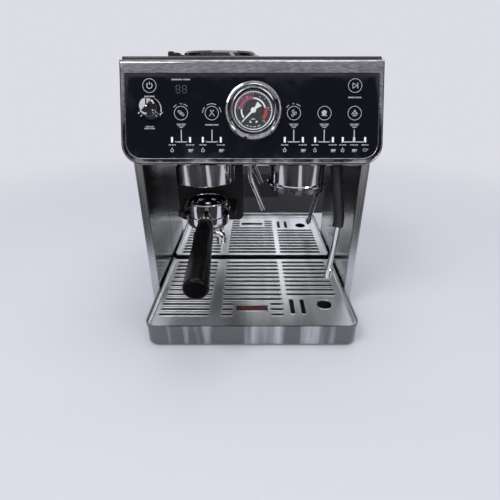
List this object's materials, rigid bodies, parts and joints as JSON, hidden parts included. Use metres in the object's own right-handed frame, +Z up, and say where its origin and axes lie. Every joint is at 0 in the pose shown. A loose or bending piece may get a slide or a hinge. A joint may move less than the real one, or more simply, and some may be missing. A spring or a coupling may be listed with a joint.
{
  "type": "espresso machine",
  "caption": "Free-standing espresso machine with built-in grinder: slanted control panel, pressure gauge, brew group, steam wand, portafilter and pull-out drip tray.",
  "frame": {"origin": "on the table, under the middle of the machine's outline", "axes": "+Z up, the control panel and drip tray face -Y, +X to the right seen from the front"},
  "size_m": [0.32, 0.374, 0.3674],
  "materials": {
    "polished_steel": "mirror-polished stainless sheet",
    "brushed_steel": "horizontally brushed stainless steel",
    "chrome": "bright plated metal",
    "dark_steel": "machined steel, oiled",
    "control_glass": "back-printed black glass, polished",
    "key_black": "glossy black key caps",
    "gloss_black": "glossy black moulding",
    "satin_black": "satin black moulding, fine grain",
    "black_rubber": "matte moulded rubber",
    "smoked_clear": "smoked clear plastic",
    "lens_clear": "clear polished window",
    "dial_black": "printed dial",
    "needle_white": "white enamel",
    "float_red": "dark red moulding",
    "group_brass": "plated brass casting",
    "cast_aluminium": "as-cast aluminium",
    "painted_steel": "black powder coat",
    "board_green": "circuit board with parts",
    "pipe_white": "plain pressure hose"
  },
  "bodies": {
    "chassis": {"base_pan": "painted_steel", "rubber_feet": "black_rubber", "side_panel_left": "polished_steel", "side_panel_right": "polished_steel", "niche_wall_left": "polished_steel", "niche_wall_right": "polished_steel", "splash_panel": "polished_steel", "rear_cover": "brushed_steel", "cord_gland": "black_rubber", "head_floor": "satin_black", "top_deck": "gloss_black", "panel_frame": "chrome", "panel_glass": "control_glass", "panel_carrier": "satin_black", "control_board": "board_green", "gauge_case": "chrome", "gauge_dial": "dial_black", "gauge_lens": "lens_clear", "gauge_movement": "group_brass", "grinder_shroud": "chrome", "grounds_chute": "satin_black", "cradle": "satin_black", "grinder_motor": "painted_steel", "burr_chamber": "satin_black", "hopper": "smoked_clear", "group_shroud": "chrome", "group_head": "dark_steel", "group_gasket": "black_rubber", "shower_screen": "brushed_steel", "boiler": "cast_aluminium", "pump": "painted_steel", "water_lines": "pipe_white", "steam_socket": "gloss_black", "hot_water_spout": "chrome"},
    "drip_tray": {"tray_front": "brushed_steel", "tray_pan": "satin_black"},
    "drip_plate": {"drip_plate": "brushed_steel"},
    "tray_float": {"tray_float": "float_red"},
    "portafilter": {"portafilter_bowl": "chrome", "filter_basket": "brushed_steel", "portafilter_spout": "chrome", "portafilter_handle": "gloss_black"},
    "steam_wand": {"steam_tube": "chrome", "steam_sleeve": "black_rubber"},
    "dose_knob": {"dose_knob": "chrome"},
    "gauge_needle": {"gauge_needle": "needle_white"},
    "grind_trigger": {"grind_trigger": "satin_black"},
    "burr": {"cone_burr": "dark_steel"},
    "grind_collar": {"grind_collar": "satin_black", "ring_burr": "dark_steel"},
    "hopper_lid": {"hopper_lid": "gloss_black"},
    "water_tank": {"water_tank": "smoked_clear"},
    "tank_lid": {"tank_lid": "satin_black"},
    "power_key": {"power_key": "key_black"},
    "start_key": {"start_key": "key_black"},
    "basket_size_key": {"basket_size_key": "key_black"},
    "program_key": {"program_key": "key_black"},
    "one_cup_key": {"one_cup_key": "key_black"},
    "two_cup_key": {"two_cup_key": "key_black"},
    "steam_key": {"steam_key": "key_black"}
  },
  "joints": [
    {"name": "drip_tray_pull", "type": "slide", "parent": "chassis", "child": "drip_tray", "axis": [0, -1, 0], "range_m": [0, 0.19]},
    {"name": "drip_plate_lift", "type": "slide", "parent": "drip_tray", "child": "drip_plate", "axis": [0, 0, 1], "range_m": [0, 0.016]},
    {"name": "tray_float_rise", "type": "slide", "parent": "drip_tray", "child": "tray_float", "axis": [0, 0, 1], "range_m": [0, 0.008]},
    {"name": "portafilter_pull", "type": "slide", "parent": "chassis", "child": "portafilter", "axis": [0, -1, 0], "range_m": [0, 0.09]},
    {"name": "steam_wand_swivel", "type": "hinge", "parent": "chassis", "child": "steam_wand", "pos_m": [0.122, 0, 0.233], "axis": [0, 0, 1], "range_deg": [-45, 12]},
    {"name": "dose_knob_turn", "type": "hinge", "parent": "chassis", "child": "dose_knob", "pos_m": [-0.125, -0.06422, 0.30244], "axis": [0, -0.9221, 0.387], "range_deg": [-140, 140]},
    {"name": "gauge_needle_swing", "type": "hinge", "parent": "chassis", "child": "gauge_needle", "pos_m": [0.0017, -0.06511, 0.30032], "axis": [0, 0.9221, -0.387], "range_deg": [0, 270], "stiffness_Nm_per_rad": 0.0002, "springref_deg": -28.65},
    {"name": "grind_trigger_press", "type": "slide", "parent": "chassis", "child": "grind_trigger", "axis": [0, 1, 0], "range_m": [0, 0.004], "stiffness_N_per_m": 150, "springref_m": -0.001},
    {"name": "burr_spin", "type": "hinge", "parent": "chassis", "child": "burr", "pos_m": [-0.046, 0.06, 0.29], "axis": [0, 0, 1], "continuous": true},
    {"name": "grind_collar_turn", "type": "hinge", "parent": "chassis", "child": "grind_collar", "pos_m": [-0.046, 0.06, 0.36], "axis": [0, 0, 1], "range_deg": [-60, 60]},
    {"name": "hopper_lid_lift", "type": "slide", "parent": "chassis", "child": "hopper_lid", "axis": [0, 0, 1], "range_m": [0, 0.05]},
    {"name": "water_tank_lift", "type": "slide", "parent": "chassis", "child": "water_tank", "axis": [0, 0, 1], "range_m": [0, 0.12]},
    {"name": "tank_lid_open", "type": "hinge", "parent": "water_tank", "child": "tank_lid", "pos_m": [-0.018, 0.182, 0.34], "axis": [-1, 0, 0], "range_deg": [0, 95]},
    {"name": "power_key_press", "type": "slide", "parent": "chassis", "child": "power_key", "axis": [0, 0.9221, -0.387], "range_m": [0, 0.0012], "stiffness_N_per_m": 300, "springref_m": -0.001},
    {"name": "start_key_press", "type": "slide", "parent": "chassis", "child": "start_key", "axis": [0, 0.9221, -0.387], "range_m": [0, 0.0012], "stiffness_N_per_m": 300, "springref_m": -0.001},
    {"name": "basket_size_key_press", "type": "slide", "parent": "chassis", "child": "basket_size_key", "axis": [0, 0.9221, -0.387], "range_m": [0, 0.0012], "stiffness_N_per_m": 300, "springref_m": -0.001},
    {"name": "program_key_press", "type": "slide", "parent": "chassis", "child": "program_key", "axis": [0, 0.9221, -0.387], "range_m": [0, 0.0012], "stiffness_N_per_m": 300, "springref_m": -0.001},
    {"name": "one_cup_key_press", "type": "slide", "parent": "chassis", "child": "one_cup_key", "axis": [0, 0.9221, -0.387], "range_m": [0, 0.0012], "stiffness_N_per_m": 300, "springref_m": -0.001},
    {"name": "two_cup_key_press", "type": "slide", "parent": "chassis", "child": "two_cup_key", "axis": [0, 0.9221, -0.387], "range_m": [0, 0.0012], "stiffness_N_per_m": 300, "springref_m": -0.001},
    {"name": "steam_key_press", "type": "slide", "parent": "chassis", "child": "steam_key", "axis": [0, 0.9221, -0.387], "range_m": [0, 0.0012], "stiffness_N_per_m": 300, "springref_m": -0.001}
  ]
}
